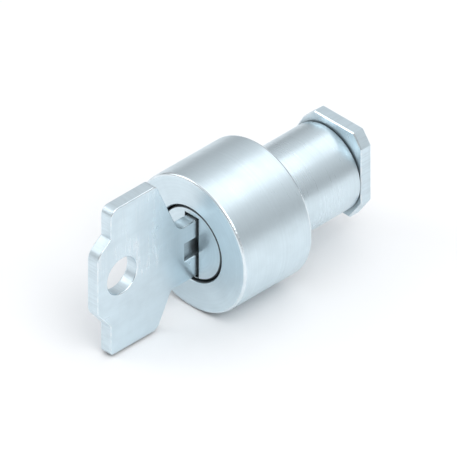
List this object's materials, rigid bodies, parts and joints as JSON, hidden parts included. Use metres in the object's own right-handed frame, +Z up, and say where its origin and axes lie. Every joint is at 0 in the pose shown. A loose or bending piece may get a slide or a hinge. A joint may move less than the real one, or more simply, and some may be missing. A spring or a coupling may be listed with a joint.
{
  "type": "selector key switch",
  "caption": "Key-operated selector switch head: round collar, smooth shank, clipped-corner plate nut, wafer lock with a stepped-bow key, and a rear drive dog.",
  "frame": {"origin": "on the lock's axis, in the plane of the collar's rear rim, which rests on the panel's front face", "axes": "+Y along the axis, from the key towards the drive end; +Z up, the way the key stands upright; +X to the right, seen from the key's side"},
  "size_m": [0.0252, 0.0606, 0.0293],
  "materials": {
    "plated_shell": "satin nickel plate on turned metal",
    "plated_barrel": "satin nickel plate, fine turning marks",
    "plated_plug": "satin nickel plate, circular brushing",
    "key_metal": "nickel-plated, tumbled",
    "nut_zinc": "zinc-plated pressed steel",
    "wafer_brass": "stamped, deburred",
    "spring_steel": "bright wire",
    "dark_steel": "phosphated",
    "seal_rubber": "matt black",
    "bush_plastic": "natural acetal",
    "dog_zinc": "die-cast zinc"
  },
  "bodies": {
    "housing": {"collar": "plated_shell", "barrel": "plated_barrel", "shank_sleeve": "plated_barrel", "collar_snap_ring": "dark_steel", "collar_dowel": "spring_steel", "panel_gasket": "seal_rubber", "dust_seal_ring": "seal_rubber", "stop_pins": "spring_steel", "thrust_washer": "bush_plastic", "detent_spring": "spring_steel", "rear_bush": "bush_plastic"},
    "rotor": {"plug": "plated_plug", "stop_washer": "dark_steel", "detent_cam": "bush_plastic", "shaft_circlip": "dark_steel", "drive_dog": "dog_zinc", "drive_screw": "spring_steel", "wafer_spring_1": "spring_steel", "wafer_spring_2": "spring_steel", "wafer_spring_3": "spring_steel", "wafer_spring_4": "spring_steel", "wafer_spring_5": "spring_steel"},
    "key": {"key": "key_metal"},
    "plate_nut": {"nut_plate": "nut_zinc"},
    "wafer_1": {"wafer_1": "wafer_brass"},
    "wafer_2": {"wafer_2": "wafer_brass"},
    "wafer_3": {"wafer_3": "wafer_brass"},
    "wafer_4": {"wafer_4": "wafer_brass"},
    "wafer_5": {"wafer_5": "wafer_brass"}
  },
  "joints": [
    {"name": "plug_turn", "type": "hinge", "parent": "housing", "child": "rotor", "pos_m": [0, 0, 0], "axis": [0, 1, 0], "range_deg": [0, 90], "deforming": ["detent_spring"]},
    {"name": "key_slide", "type": "slide", "parent": "rotor", "child": "key", "axis": [0, -1, 0], "range_m": [0, 0.024]},
    {"name": "nut_slide", "type": "slide", "parent": "housing", "child": "plate_nut", "axis": [0, 1, 0], "range_m": [0, 0.03]},
    {"name": "wafer_1_slide", "type": "slide", "parent": "rotor", "child": "wafer_1", "axis": [0, 0, 1], "range_m": [0, 0.0006], "deforming": ["wafer_spring_1"]},
    {"name": "wafer_2_slide", "type": "slide", "parent": "rotor", "child": "wafer_2", "axis": [0, 0, -1], "range_m": [0, 0.0006], "deforming": ["wafer_spring_2"]},
    {"name": "wafer_3_slide", "type": "slide", "parent": "rotor", "child": "wafer_3", "axis": [0, 0, 1], "range_m": [0, 0.0006], "deforming": ["wafer_spring_3"]},
    {"name": "wafer_4_slide", "type": "slide", "parent": "rotor", "child": "wafer_4", "axis": [0, 0, -1], "range_m": [0, 0.0006], "deforming": ["wafer_spring_4"]},
    {"name": "wafer_5_slide", "type": "slide", "parent": "rotor", "child": "wafer_5", "axis": [0, 0, 1], "range_m": [0, 0.0006], "deforming": ["wafer_spring_5"]}
  ],
  "couplings": [
    {"joint": "wafer_1_slide", "follows": "key_slide", "ratio": 0.025},
    {"joint": "wafer_2_slide", "follows": "key_slide", "ratio": 0.025},
    {"joint": "wafer_3_slide", "follows": "key_slide", "ratio": 0.025},
    {"joint": "wafer_4_slide", "follows": "key_slide", "ratio": 0.025},
    {"joint": "wafer_5_slide", "follows": "key_slide", "ratio": 0.025}
  ]
}
